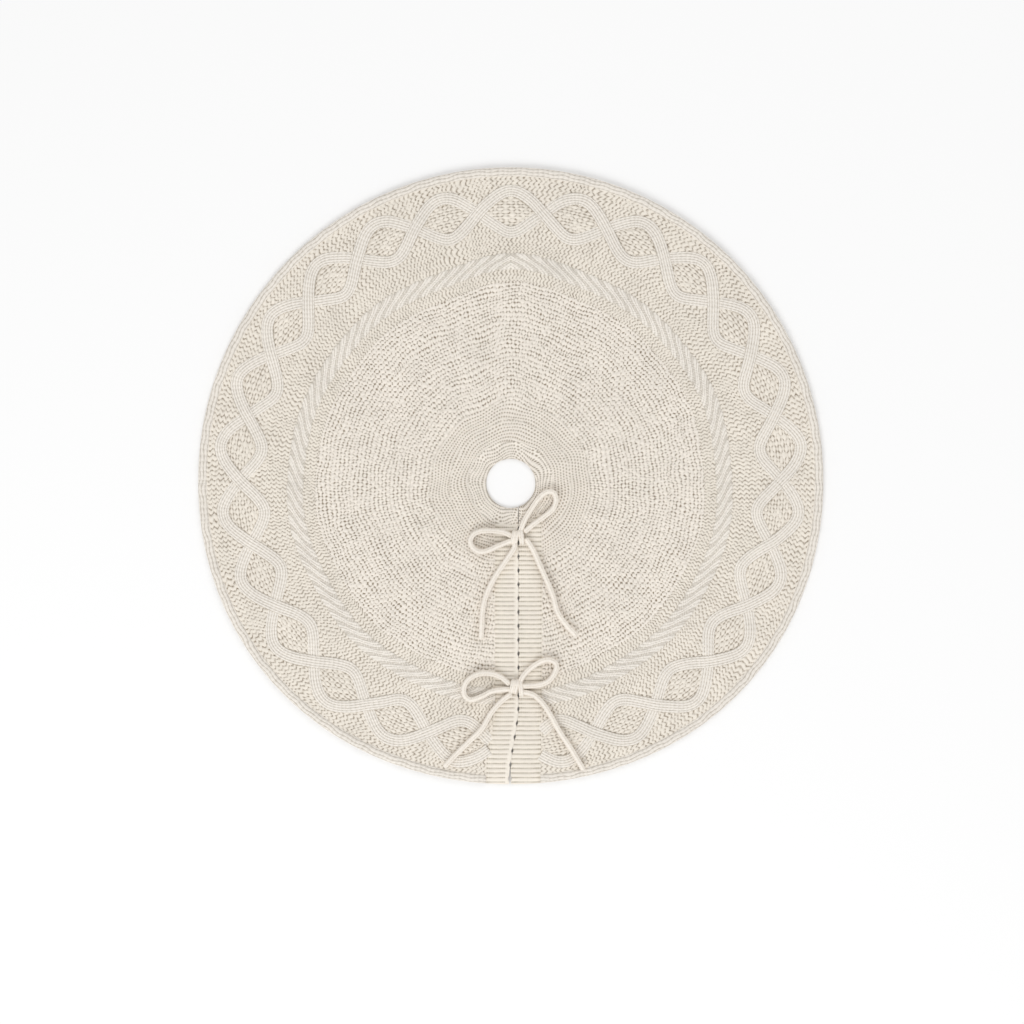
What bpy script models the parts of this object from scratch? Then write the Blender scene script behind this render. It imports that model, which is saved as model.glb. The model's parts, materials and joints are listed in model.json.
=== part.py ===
"""A round knitted tree skirt, 24 inches across, laid flat: a moss-stitch field round a trunk hole,
a cable border, a rolled hem, a slit with two ribbed plackets and two tied bows.

Units are metres and +Z is up. The origin is at the middle of the skirt's outline, on the surface it
lies on. The slit and the bows point towards -Y. Angles run clockwise from +Y, seen from above.
Zones of cloth are separate closed solids, because the two front quarters fold up and back over a
line across the hole, which is how the skirt opens to go round a trunk.
"""

import math

import bmesh
import bpy
from mathutils import Matrix, Vector

MM = 0.001

# Outline, measured from the middle of the trunk hole.
RIM_SIDE = 304.8 * MM
RIM_BACK = 308.2 * MM
RIM_FRONT = 293.5 * MM
HOLE_RADIUS = 24.0 * MM

# Widths of the zones of cloth, from the hole outwards. The field takes what is left.
NECK_WIDTH = 17.0 * MM
BORDER_WIDTH = 96.0 * MM
HEM_WIDTH = 9.0 * MM

# Thickness of each zone.
NECK_THICK = 4.5 * MM
FIELD_THICK = 5.5 * MM
BORDER_THICK = 7.5 * MM
HEM_THICK = 7.5 * MM
PLACKET_THICK = 7.0 * MM

# The slit runs straight towards the front, a little to the right of the hole's middle, and drifts
# to the left near the rim.
SLIT_X = 7.5 * MM
SLIT_DRIFT = -8.3 * MM
DRIFT_START = 215.0 * MM
DRIFT_END = 285.0 * MM
SLIT_GAP = 0.6 * MM

PLACKET_WIDTH = 24.0 * MM
LEFT_FLARE = 1.0 * MM
RIGHT_FLARE = 7.0 * MM

# Gap between neighbouring pieces.
GAP = 0.3 * MM

# The front quarters turn about a line across the hole, this far above the table.
FOLD_HEIGHT = 9.0 * MM

CORD_RADIUS = 2.25 * MM
CORD_SAMPLES = 30

# A knot reaches this far above the middle of the cords that leave it.
KNOT_ABOVE = 4.4 * MM
KNOT_EDGE = 1.8 * MM

# The cords lie just clear of the thickest cloth, so that they can swing over all of it.
CORD_LEVEL = max(BORDER_THICK, HEM_THICK, PLACKET_THICK) + GAP + CORD_RADIUS

# The hole's middle is behind or ahead of the origin by half of what the outline is longer there.
HOLE_Y = (RIM_FRONT - RIM_BACK) / 2

STEPS_PER_QUARTER = 24

# Routes of the ties, in millimetres from the middle of the hole: (to the right, to the back).
# A loop leaves its knot and comes back to it. A tail starts at its pivot beside the knot.
BOWS = {
    "upper": {
        "left": {
            "knot": (0.2, 7.2, -58.4, -47.0),
            "loop": [(-1.0, -50.6), (-8.9, -47.3), (-25.1, -46.2), (-34.9, -48.8), (-39.3, -55.4),
                     (-36.8, -62.7), (-30.0, -66.5), (-21.9, -65.2), (-8.9, -59.5), (-1.1, -56.4)],
            "tail": [(3.6, -59.2), (3.0, -63.4), (-5.6, -76.6), (-15.4, -91.2), (-22.7, -105.8),
                     (-26.8, -120.4), (-28.1, -136.6), (-28.7, -152.5)],
        },
        "right": {
            "knot": (7.8, 12.9, -58.4, -45.8),
            "loop": [(10.2, -44.4), (13.2, -36.6), (19.2, -26.2), (26.8, -15.2), (34.3, -8.9),
                     (41.1, -8.9), (44.0, -15.7), (41.4, -24.6), (33.3, -31.8), (22.6, -39.5),
                     (14.9, -46.0)],
            "tail": [(15.5, -55.4), (21.9, -65.2), (28.4, -79.8), (35.0, -94.4), (41.4, -110.6),
                     (45.5, -125.3), (54.4, -138.2), (64.2, -148.6)],
        },
    },
    "lower": {
        "left": {
            "knot": (-0.9, 7.2, -203.4, -191.6),
            "loop": [(-2.8, -194.2), (-8.9, -188.9), (-18.6, -185.3), (-30.0, -185.3), (-40.5, -190.2),
                     (-45.4, -198.3), (-44.6, -206.4), (-38.1, -210.5), (-26.8, -206.4),
                     (-17.0, -201.9), (-2.8, -200.2)],
            "tail": [(-1.0, -206.0), (-8.0, -211.0), (-18.6, -222.7), (-28.4, -238.9), (-41.4, -251.9),
                     (-54.4, -264.8), (-65.1, -276.2)],
        },
        "right": {
            "knot": (7.8, 12.0, -206.4, -192.6),
            "loop": [(10.2, -190.8), (12.6, -186.5), (20.4, -178.8), (31.7, -172.3), (39.8, -172.3),
                     (44.7, -177.2), (41.4, -186.9), (35.0, -193.4), (25.2, -196.4), (12.6, -197.2)],
            "tail": [(13.6, -203.4), (21.9, -205.6), (31.7, -214.6), (39.8, -227.5), (47.9, -242.1),
                     (57.7, -256.7), (71.3, -279.1)],
        },
    },
}

# Base colour and roughness of each kind of knitting.
COLOURS = {
    "neck_knit": ((0.70, 0.64, 0.55), 0.95),
    "moss_knit": ((0.72, 0.66, 0.57), 0.95),
    "cable_knit": ((0.74, 0.68, 0.59), 0.93),
    "hem_knit": ((0.76, 0.71, 0.63), 0.93),
    "placket_knit": ((0.74, 0.67, 0.57), 0.94),
    "tie_cord": ((0.80, 0.74, 0.65), 0.90),
}


def clear_scene():
    for old in list(bpy.data.objects):
        bpy.data.objects.remove(old, do_unlink=True)


def material(name):
    made = bpy.data.materials.get(name)
    if made is None:
        made = bpy.data.materials.new(name)
        made.use_nodes = True
        shader = made.node_tree.nodes["Principled BSDF"]
        colour, roughness = COLOURS[name]
        shader.inputs["Base Color"].default_value = (*colour, 1)
        shader.inputs["Roughness"].default_value = roughness
        shader.inputs["Metallic"].default_value = 0
    return made


def smoothstep(value, start, end):
    share = min(1.0, max(0.0, (value - start) / (end - start)))
    return share * share * (3 - 2 * share)


def rim_radius(angle):
    """Outer radius of the skirt at an angle from the back."""
    ahead = math.cos(angle)
    if ahead > 0:
        return RIM_SIDE + (RIM_BACK - RIM_SIDE) * ahead
    return RIM_SIDE + (RIM_FRONT - RIM_SIDE) * ahead ** 4


def neck_outer(angle):
    return HOLE_RADIUS + NECK_WIDTH


def hem_inner(angle):
    return rim_radius(angle) - HEM_WIDTH


def border_inner(angle):
    return hem_inner(angle) - BORDER_WIDTH


def slit_x(forward):
    """Where the middle of the slit lies, a distance forward of the hole's middle."""
    return SLIT_X + SLIT_DRIFT * smoothstep(forward, DRIFT_START, DRIFT_END)


def placket_outer_x(forward, side):
    """Outer edge of a placket. Each edge keeps its own line while the slit drifts, with a flare."""
    flare = LEFT_FLARE if side < 0 else RIGHT_FLARE
    drift = smoothstep(forward, DRIFT_START, DRIFT_END)
    return slit_x(forward) + side * (PLACKET_WIDTH + flare * drift)


def angle_at(radius, edge_x):
    """Angle from the back of the point at this radius where the line x = edge_x(forward) lies."""
    forward = radius
    for _ in range(6):
        across = edge_x(forward)
        forward = math.sqrt(max(radius ** 2 - across ** 2, 0.0))
    return math.pi - math.asin(max(-1.0, min(1.0, across / radius)))


def fold_angle(radius, side, behind):
    """Angle of the fold line's edge: the back half stops a half gap behind it, a quarter before it."""
    turn = math.asin(GAP / 2 / radius)
    quarter = math.pi / 2
    return side * (quarter - turn if behind else quarter + turn)


def new_object(name, mesh, slot):
    shown = bpy.data.objects.new(name, mesh)
    bpy.context.scene.collection.objects.link(shown)
    mesh.materials.clear()
    mesh.materials.append(material(slot))
    return shown


def slab(name, columns, rows, place, slot):
    """A closed solid whose top and bottom are grids. place(u, v) gives x, y, bottom and top."""
    work = bmesh.new()
    bmesh.ops.create_grid(work, x_segments=columns, y_segments=rows, size=0.5)
    lower = list(work.verts)
    lifted = bmesh.ops.extrude_face_region(work, geom=list(work.faces))["geom"]
    upper = [part for part in lifted if isinstance(part, bmesh.types.BMVert)]
    for corners, height in ((lower, 2), (upper, 3)):
        for corner in corners:
            spot = place(corner.co.x + 0.5, corner.co.y + 0.5)
            corner.co = Vector((spot[0], spot[1], spot[height]))
    bmesh.ops.recalc_face_normals(work, faces=list(work.faces))
    mesh = bpy.data.meshes.new(name)
    work.to_mesh(mesh)
    work.free()
    mesh.shade_smooth()
    mesh.set_sharp_from_angle(angle=math.radians(35))
    return new_object(name, mesh, slot)


def zone(name, inner, outer, start, end, section, slot, columns, rows):
    """A ring sector between two radii, whose ends follow start(radius) and end(radius)."""

    def place(u, v):
        radius = RIM_SIDE / 2
        for _ in range(8):
            angle = start(radius) + (end(radius) - start(radius)) * u
            radius = inner(angle) + (outer(angle) - inner(angle)) * v
        bottom, top = section(v)
        return radius * math.sin(angle), HOLE_Y + radius * math.cos(angle), bottom, top

    return slab(name, columns, rows, place, slot)


def flat_section(thick):
    return lambda v: (0.0, thick)


def roll_section(thick):
    """The hem's roll: full height in the middle, low at both edges."""

    def section(v):
        bulge = math.sqrt(max(0.0, 1 - (2 * v - 1) ** 2))
        return thick * 0.30 * (1 - bulge), thick * (0.55 + 0.45 * bulge)

    return section


def cloth_zones():
    """The four zones of knitting in the back half and in each front quarter."""
    bands = {
        "neck_edge": (lambda a: HOLE_RADIUS, neck_outer,
                      flat_section(NECK_THICK), "neck_knit", 2),
        "centre_field": (lambda a: neck_outer(a) + GAP, border_inner,
                         flat_section(FIELD_THICK), "moss_knit", 10),
        "cable_border": (lambda a: border_inner(a) + GAP, hem_inner,
                         flat_section(BORDER_THICK), "cable_knit", 12),
        "rolled_hem": (lambda a: hem_inner(a) + GAP, rim_radius,
                       roll_section(HEM_THICK), "hem_knit", 6),
    }
    for band, (inner, outer, section, slot, rows) in bands.items():
        zone("back_" + band, inner, outer,
             lambda r: fold_angle(r, -1, True), lambda r: fold_angle(r, 1, True),
             section, slot, 2 * STEPS_PER_QUARTER, rows)
        for label, side in (("left", -1), ("right", 1)):
            if band == "neck_edge":
                def edge(forward, side=side):
                    return slit_x(forward) + side * SLIT_GAP / 2
            else:
                def edge(forward, side=side):
                    return placket_outer_x(forward, side) + side * GAP

            def start(r, side=side):
                return fold_angle(r, side, False)

            def end(r, edge=edge, side=side):
                angle = angle_at(r, edge)
                return angle if side > 0 else angle - 2 * math.pi

            zone(f"{label}_{band}", inner, outer, start, end, section, slot, STEPS_PER_QUARTER, rows)


def placket(label, side):
    """The ribbed band along the slit, from the neck edge to the rim."""

    def place(u, v):
        forward = neck_outer(math.pi)
        angle = math.pi
        for _ in range(8):
            near = neck_outer(angle) + GAP
            radius = near + (rim_radius(angle) - near) * v
            inner_x = slit_x(forward) + side * SLIT_GAP / 2
            across = inner_x + (placket_outer_x(forward, side) - inner_x) * u
            forward = math.sqrt(radius ** 2 - across ** 2)
            angle = math.pi - math.asin(across / radius)
        return across, HOLE_Y - forward, 0.0, PLACKET_THICK

    return slab(f"{label}_placket", 6, 2 * STEPS_PER_QUARTER, place, "placket_knit")


def half_knot(name, box):
    """One side's half of a bow's knot: a rounded block on the placket, clear of the slit."""
    left, right, front, back = (value * MM for value in box)
    bottom = PLACKET_THICK + GAP
    top = CORD_LEVEL + KNOT_ABOVE
    size = Vector((right - left, back - front, top - bottom))
    middle = Vector(((left + right) / 2, HOLE_Y + (front + back) / 2, (bottom + top) / 2))
    work = bmesh.new()
    bmesh.ops.create_cube(work, size=1)
    bmesh.ops.scale(work, vec=size, verts=work.verts)
    bmesh.ops.bevel(work, geom=list(work.edges), offset=KNOT_EDGE, segments=3, profile=0.5,
                    affect="EDGES", clamp_overlap=True)
    mesh = bpy.data.meshes.new(name)
    work.to_mesh(mesh)
    work.free()
    mesh.shade_smooth()
    shown = new_object(name, mesh, "tie_cord")
    shown.location = middle
    return shown


def smooth_route(points, samples):
    """Evenly spread points along a Catmull-Rom curve through the given points."""
    first = points[0] * 2 - points[1]
    last = points[-1] * 2 - points[-2]
    posts = [first, *points, last]
    fine = []
    for i in range(1, len(posts) - 2):
        a, b, c, d = posts[i - 1:i + 3]
        for k in range(16):
            t = k / 16
            fine.append(0.5 * ((2 * b) + (c - a) * t + (2 * a - 5 * b + 4 * c - d) * t ** 2
                               + (3 * b - a - 3 * c + d) * t ** 3))
    fine.append(points[-1].copy())
    lengths = [0.0]
    for p, q in zip(fine, fine[1:]):
        lengths.append(lengths[-1] + (q - p).length)
    route = []
    spot = 0
    for k in range(samples):
        want = lengths[-1] * k / (samples - 1)
        while spot < len(fine) - 2 and lengths[spot + 1] < want:
            spot += 1
        share = (want - lengths[spot]) / max(lengths[spot + 1] - lengths[spot], 1e-9)
        route.append(fine[spot].lerp(fine[spot + 1], min(1.0, share)))
    return route


def cord_place(spot):
    x, y = spot
    return Vector((x * MM, HOLE_Y + y * MM, CORD_LEVEL))


def tie(name, flat_points):
    """A round tie cord lying above the cloth, with its object's origin at its first point."""
    origin = cord_place(flat_points[0])
    route = smooth_route([cord_place(spot) for spot in flat_points], CORD_SAMPLES)
    curve = bpy.data.curves.new(name, "CURVE")
    curve.dimensions = "3D"
    curve.bevel_depth = CORD_RADIUS
    curve.bevel_resolution = 2
    curve.use_fill_caps = True
    spline = curve.splines.new("POLY")
    spline.points.add(len(route) - 1)
    for point, place in zip(spline.points, route):
        point.co = (*(place - origin), 1)
    shown = bpy.data.objects.new(name, curve)
    shown.location = origin
    curve.materials.append(material("tie_cord"))
    bpy.context.scene.collection.objects.link(shown)
    return shown


def fold_empties():
    """An empty on the fold line for each front quarter, which its pieces are parented to."""
    hinges = {}
    for label in ("left", "right"):
        hinge = bpy.data.objects.new(f"{label}_fold_axis", None)
        hinge.location = (0, HOLE_Y, FOLD_HEIGHT)
        bpy.context.scene.collection.objects.link(hinge)
        hinges[label] = hinge
    bpy.context.view_layer.update()
    return hinges


def attach(child, parent):
    child.parent = parent
    child.matrix_parent_inverse = Matrix.Translation(-parent.location)


def build():
    clear_scene()
    cloth_zones()
    placket("left", -1)
    placket("right", 1)
    for bow, sides in BOWS.items():
        for label, parts in sides.items():
            start = f"{label}_{bow}"
            half_knot(start + "_half_knot", parts["knot"])
            tie(start + "_bow_loop", parts["loop"])
            tie(start + "_tie_tail", parts["tail"])
    hinges = fold_empties()
    for shown in list(bpy.context.scene.objects):
        for label, hinge in hinges.items():
            if shown.type != "EMPTY" and shown.name.startswith(label + "_"):
                attach(shown, hinge)


build()
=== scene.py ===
"""Looks for the knitted tree skirt: yarn cloth, cables, hem, plackets and tied cords on the frame.

Lengths in the shaping functions are millimetres from the middle of the trunk hole, and angles run
clockwise from the back. Rows of stitches run outwards from the hole, and columns run round it.
"""

import json
import math

import bmesh
import bpy
import numpy as np
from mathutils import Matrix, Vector


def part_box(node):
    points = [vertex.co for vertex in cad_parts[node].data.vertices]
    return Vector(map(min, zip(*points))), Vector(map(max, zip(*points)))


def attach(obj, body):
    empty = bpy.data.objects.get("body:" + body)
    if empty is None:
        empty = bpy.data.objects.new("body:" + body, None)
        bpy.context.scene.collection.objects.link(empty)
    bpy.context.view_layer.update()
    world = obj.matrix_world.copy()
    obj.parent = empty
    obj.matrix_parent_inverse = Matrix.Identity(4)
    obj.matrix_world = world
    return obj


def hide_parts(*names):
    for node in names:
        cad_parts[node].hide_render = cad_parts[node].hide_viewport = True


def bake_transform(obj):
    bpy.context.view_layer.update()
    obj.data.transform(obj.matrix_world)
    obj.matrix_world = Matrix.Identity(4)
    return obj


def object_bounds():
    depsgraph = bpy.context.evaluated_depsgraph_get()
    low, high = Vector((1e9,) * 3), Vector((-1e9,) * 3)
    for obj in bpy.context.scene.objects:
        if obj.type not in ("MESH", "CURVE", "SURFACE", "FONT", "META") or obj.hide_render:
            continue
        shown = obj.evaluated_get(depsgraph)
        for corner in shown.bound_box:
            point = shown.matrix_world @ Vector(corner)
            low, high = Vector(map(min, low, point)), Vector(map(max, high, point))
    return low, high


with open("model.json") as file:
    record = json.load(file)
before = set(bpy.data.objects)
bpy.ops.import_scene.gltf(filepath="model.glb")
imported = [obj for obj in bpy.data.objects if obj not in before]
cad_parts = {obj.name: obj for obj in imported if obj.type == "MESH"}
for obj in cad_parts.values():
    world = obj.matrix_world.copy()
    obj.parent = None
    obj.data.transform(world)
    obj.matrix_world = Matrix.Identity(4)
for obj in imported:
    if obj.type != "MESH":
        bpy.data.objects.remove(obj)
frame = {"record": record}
cad_low, cad_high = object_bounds()

MM = 0.001
QUARTER = math.pi / 2
LENS = 85
SENSOR = 36
# The view is a little under a metre wide, with the cloth above its middle.
VIEW_WIDTH = 0.9974
VIEW_CENTRE = (0.0012, -0.0353)
# The floor is a hair below the cloth, so that the two never share a plane.
FLOOR_LEVEL = -0.0004
SKY_STRENGTH = 0.70

fold = next(j for j in frame["record"]["behaviour"]["joints"] if j["name"] == "left_flap_fold")
HOLE_Y = fold["pos_m"][1] / MM
RIM_SIDE = cad_high.x / MM
RIM_BACK = cad_high.y / MM - HOLE_Y
RIM_FRONT = HOLE_Y - cad_low.y / MM


def top_of(node):
    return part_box(node)[1].z / MM


FIELD_TOP = top_of("back_centre_field")
HEM_TOP = top_of("back_rolled_hem")
PLACKET_TOP = top_of("left_placket")
NECK_TOP = top_of("back_neck_edge")
CORD_SOLID = (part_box("left_upper_tie_tail")[1].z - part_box("left_upper_tie_tail")[0].z) / MM / 2
CORD_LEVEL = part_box("left_upper_tie_tail")[1].z / MM - CORD_SOLID
# The soft cord is a little fuller than the firm core that stands for it in motion.
CORD_RADIUS = CORD_SOLID * 1.15
CORD_STITCH = 2.6
CORD_COLUMNS = 5
CORD_RING_STEP = 1.1
CORD_SIDES = 14
ROUTE_SAMPLES = 400
# Every so many samples of a cord's route are handed on as its path.
PATH_STEP = 16
# How far a cord's end runs on into the knot.
KNOT_REACH = 3.0
KNOT_GIRTH = 2.6
KNOT_RISE = 2.3
# The two halves' turns of the knot touch over the slit.
KNOT_OVERLAP = 0.25
KNOT_LEAN = {"left": 1.2, "right": -0.7}
KNOT_TURNS = {"left": (0.27, 0.73), "right": (0.5,)}

HOLE_RADIUS = 24.0
NECK_WIDTH = 17.0
HEM_WIDTH = 9.0

SLIT_X = 7.5
SLIT_DRIFT = -8.3
DRIFT_START = 215.0
DRIFT_END = 285.0
SLIT_GAP = 0.6
PLACKET_WIDTH = 24.0
LEFT_FLARE = 1.0
RIGHT_FLARE = 7.0

UNDER_RELIEF = 0.9
# Neighbouring rings meet this far below the solid field's top, and relief stands up from there.
SEAM_DROP = 1.8
PLAIN_DEPTH = 2.3
MOSS_DEPTH = 2.2
# Cables stand on a foot sunk into the cloth, and their relief starts a little higher.
CABLE_FOOT = 2.6
CABLE_BASE = 1.6

# Rings of the field: inner radius, outer radius, rows round the whole ring, columns across.
FIELD_RINGS = [
    (41.0, 59.5, 116, 6),
    (59.5, 78.0, 156, 6),
    (78.0, 97.5, 198, 5),
    (97.5, 117.0, 236, 5),
    (117.0, 136.5, 270, 5),
    (136.5, 156.0, 306, 5),
    (156.0, 175.5, 344, 5),
    (175.5, 190.0, 368, 4),
]
# The columns stand out this far at the middle of the back, over this many radians.
BACK_RISE = 5.5
BACK_RISE_SPREAD = 0.21
MOSS_FROM = 78.0
GROUND_FROM = 190.0
NECK_ROWS = 92
NECK_COLUMN = 3.0
HEM_ROWS = 376
HEM_COLUMNS = 4
# Mesh cells across each ring or band, and the cuts made in each cell of the top for the relief.
NECK_CELLS = 9
RIB_CELLS = 6
GROUND_CELLS = 26
HEM_CELLS = 6
ROPE_CELLS = 11
PLACKET_CELLS = 16
STITCH_CUTS = 3
PLACKET_CUTS = 2
# The stitch value on a piece's underside where it has no pattern of its own; it sets how far the
# painted shade between stitches darkens the plain yarn there.
UNDER_SHADE = 0.75
# The cloth's edge goes this far under the placket.
TUCK = 1.5
ROPE_RADIUS = 209.5
GROUND_ROWS = 368
GROUND_COLUMN = 5.3
# Moss stitch inside a diamond: rows for each ground row, and millimetres for each column.
PATCH_ROW = 0.96
PATCH_COLUMN = 2.9

DIAMOND_MIDDLE = 264.9
# Where the diamonds' middle line moves inwards: how far, and the degrees it starts and ends at.
DIAMOND_SHIFTS = [(6.0, 82, 108), (3.0, 140, 156)]
DIAMOND_SWING = 19.6
# How square a diamond's shoulders are.
DIAMOND_SHOULDER = 0.03
# Degrees from one diamond to the next, at the back and then nearer the slit.
DIAMOND_STEP = 13.75
FRONT_DIAMOND_STEP = 14.75
FRONT_DIAMONDS_FROM = 110
STRAND_WIDTH = 12.5
STRAND_COLUMNS = 5
STRAND_ROWS = {"back": 258, "left": 120, "right": 116}
CROSSING_LIFT = 0.6

ROPE_WIDTH = 17.5
ROPE_TURNS = 93
ROPE_STITCHES = 3.8
# Rows of mesh cells along the back's half of the rope.
ROPE_ROWS = 290

PLACKET_RIDGES = 56
RIDGE_PITCH = 4.5
BEAD_PITCH = 2.05
HOLE_PITCH = 13.5

# Where the bows pull the cloth down: x, y, spread along x, spread along y, depth.
TUGS = [
    (20, -176, 16, 5, 1.5),
    (-30, -178, 24, 5, 1.1),
    (-18, -42, 20, 4, 0.9),
    (48, -8, 7, 7, 0.9),
]

BOWS = {
    "upper": {
        "left": {
            "knot": (0.2, 7.2, -58.4, -47.0),
            "loop": [(-1.0, -50.6), (-8.9, -47.3), (-25.1, -46.2), (-34.9, -48.8), (-39.3, -55.4),
                     (-36.8, -62.7), (-30.0, -66.5), (-21.9, -65.2), (-8.9, -59.5), (-1.1, -56.4)],
            "tail": [(3.6, -59.2), (3.0, -63.4), (-5.6, -76.6), (-15.4, -91.2), (-22.7, -105.8),
                     (-26.8, -120.4), (-28.1, -136.6), (-28.7, -152.5)],
        },
        "right": {
            "knot": (7.8, 12.9, -58.4, -45.8),
            "loop": [(10.2, -44.4), (13.2, -36.6), (19.2, -26.2), (26.8, -15.2), (34.3, -8.9),
                     (41.1, -8.9), (44.0, -15.7), (41.4, -24.6), (33.3, -31.8), (22.6, -39.5),
                     (14.9, -46.0)],
            "tail": [(15.5, -55.4), (21.9, -65.2), (28.4, -79.8), (35.0, -94.4), (41.4, -110.6),
                     (45.5, -125.3), (54.4, -138.2), (64.2, -148.6)],
        },
    },
    "lower": {
        "left": {
            "knot": (-0.9, 7.2, -203.4, -191.6),
            "loop": [(-2.8, -194.2), (-8.9, -188.9), (-18.6, -185.3), (-30.0, -185.3), (-40.5, -190.2),
                     (-45.4, -198.3), (-44.6, -206.4), (-38.1, -210.5), (-26.8, -206.4),
                     (-17.0, -201.9), (-2.8, -200.2)],
            "tail": [(-1.0, -206.0), (-8.0, -211.0), (-18.6, -222.7), (-28.4, -238.9), (-41.4, -251.9),
                     (-54.4, -264.8), (-65.1, -276.2)],
        },
        "right": {
            "knot": (7.8, 12.0, -206.4, -192.6),
            "loop": [(10.2, -190.8), (12.6, -186.5), (20.4, -178.8), (31.7, -172.3), (39.8, -172.3),
                     (44.7, -177.2), (41.4, -186.9), (35.0, -193.4), (25.2, -196.4), (12.6, -197.2)],
            "tail": [(13.6, -203.4), (21.9, -205.6), (31.7, -214.6), (39.8, -227.5), (47.9, -242.1),
                     (57.7, -256.7), (71.3, -279.1)],
        },
    },
}


# ---------------------------------------------------------------- outline and layout


def step(value, start, end):
    share = np.clip((value - start) / (end - start), 0.0, 1.0)
    return share * share * (3 - 2 * share)


def rim_radius(angle):
    ahead = np.cos(angle)
    behind = RIM_SIDE + (RIM_BACK - RIM_SIDE) * np.maximum(ahead, 0)
    return behind + (RIM_FRONT - RIM_SIDE) * np.minimum(ahead, 0) ** 4


def slit_x(forward):
    return SLIT_X + SLIT_DRIFT * step(forward, DRIFT_START, DRIFT_END)


def placket_outer_x(forward, side):
    flare = LEFT_FLARE if side < 0 else RIGHT_FLARE
    return slit_x(forward) + side * (PLACKET_WIDTH + flare * step(forward, DRIFT_START, DRIFT_END))


def angle_at(radius, edge_x):
    """Angle of the point at this radius on the line x = edge_x(forward), on the front half."""
    forward = radius
    for _ in range(6):
        across = edge_x(forward)
        forward = np.sqrt(np.maximum(radius ** 2 - across ** 2, 0.0))
    return math.pi - np.arcsin(np.clip(across / radius, -1.0, 1.0))


def ring_span(part, radius, slit_edge):
    """First and last angle of a part's ring at a radius. slit_edge(forward, side) is where it ends."""
    if part == "back":
        return -QUARTER + 0 * radius, QUARTER + 0 * radius
    if part == "right":
        return QUARTER + 0 * radius, angle_at(radius, lambda f: slit_edge(f, 1))
    return angle_at(radius, lambda f: slit_edge(f, -1)) - 2 * math.pi, -QUARTER + 0 * radius


def cloth_edge(forward, side):
    """The cloth tucks in beside the placket."""
    return placket_outer_x(forward, side) - side * TUCK


def neck_edge(forward, side):
    """The neck's rows run on to the slit."""
    return slit_x(forward) + side * SLIT_GAP / 2


def drift_out(angle, radius):
    """How far the columns of stitches wander outwards, most of all at the middle of the back."""
    hump = BACK_RISE * np.exp(-(angle / BACK_RISE_SPREAD) ** 2)
    waves = 1.2 * np.sin(5 * angle + 0.6) * np.cos(angle * 2) + 0.7 * np.sin(11 * np.abs(angle) + 1.0)
    return (hump + waves) * step(radius, 42, 80) * (1 - step(radius, 212, 238))


def rest_height(angle, radius):
    """Slow rise and fall of cloth that isn't quite flat."""
    x, y = radius * np.sin(angle), radius * np.cos(angle)
    slow = 0.30 * np.sin(x / 47 + 1.3) * np.cos(y / 39 + 0.4) + 0.22 * np.sin(x / 23 + y / 31)
    for tug_x, tug_y, wide, long, depth in TUGS:
        slow = slow - depth * np.exp(-((x - tug_x) / wide) ** 2 - ((y - tug_y) / long) ** 2)
    return slow


def diamond_phase(angle):
    """Number of diamonds from the middle of the back. They are a little wider towards the front."""
    turn = np.degrees(np.abs(angle))
    at_back = turn / DIAMOND_STEP
    first_front = FRONT_DIAMONDS_FROM / DIAMOND_STEP
    in_front = first_front + (turn - FRONT_DIAMONDS_FROM) / FRONT_DIAMOND_STEP
    return np.where(turn < FRONT_DIAMONDS_FROM, at_back, in_front)


def diamond_middle(angle):
    """Radius of the diamonds' middle line, which moves inwards towards the slit."""
    turn = np.degrees(np.abs(angle))
    middle = DIAMOND_MIDDLE
    for shift, first, last in DIAMOND_SHIFTS:
        middle = middle - shift * step(turn, first, last)
    return middle


def strand_radius(angle, sign):
    """Radius of a strand's middle. The two strands cross between the diamonds."""
    beat = math.pi * diamond_phase(angle)
    swing = np.cos(beat) + DIAMOND_SHOULDER * np.cos(3 * beat)
    return diamond_middle(angle) + sign * DIAMOND_SWING * swing


def strand_lift(angle, sign):
    """How far a strand rises over its partner or dips under it, in turn."""
    beat = np.sin(math.pi * diamond_phase(angle))
    return sign * CROSSING_LIFT * beat * np.abs(beat)


# ---------------------------------------------------------------- stitches


def speckle(first, second, seed):
    """A steady random value from -1 to 1 for each pair of whole numbers."""
    table = np.random.default_rng(seed).uniform(-1, 1, (61, 127))
    return table[np.asarray(first, int) % 61, np.asarray(second, int) % 127]


def wander(x, y, seed, scale):
    """A smooth random value of about -1 to 1 that changes over the given distance."""
    draw = np.random.default_rng(seed)
    total = np.zeros_like(x, float)
    for _ in range(7):
        heading = draw.uniform(0, 2 * math.pi)
        pace = draw.uniform(0.6, 1.6) / scale
        offset = draw.uniform(0, 2 * math.pi)
        total += np.sin((x * math.cos(heading) + y * math.sin(heading)) * pace + offset)
    return total / 2.6


def on_board(row, column):
    """Offsets from the nearest spot of a draughtboard, along the row count and the column count."""
    one, two = (row + column) / 2, (row - column) / 2
    one, two = one - np.round(one), two - np.round(two)
    return one + two, one - two


def moss(row, column):
    """Moss stitch: plump slanted bumps on every other stitch, low loops between. From 0 to 1."""
    by_row, by_column = on_board(row, column)
    which_row, which_column = np.round(row - by_row), np.round(column - by_column)
    size = 1 + 0.18 * speckle(which_row, which_column, 3)
    lean = 0.08 + 0.34 * speckle(which_row, which_column, 4)
    reach = ((by_row + lean * by_column) / 0.70) ** 2 + (by_column / 0.57) ** 2
    bump = np.sqrt(np.maximum(1 - reach / size, 0))
    by_row, by_column = on_board(row + 1, column)
    loop = 0.62 * np.sqrt(np.maximum(1 - (by_row / 0.46) ** 2 - (by_column / 0.54) ** 2, 0))
    return np.clip(np.maximum(bump * size, loop), 0, 1.2)


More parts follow.
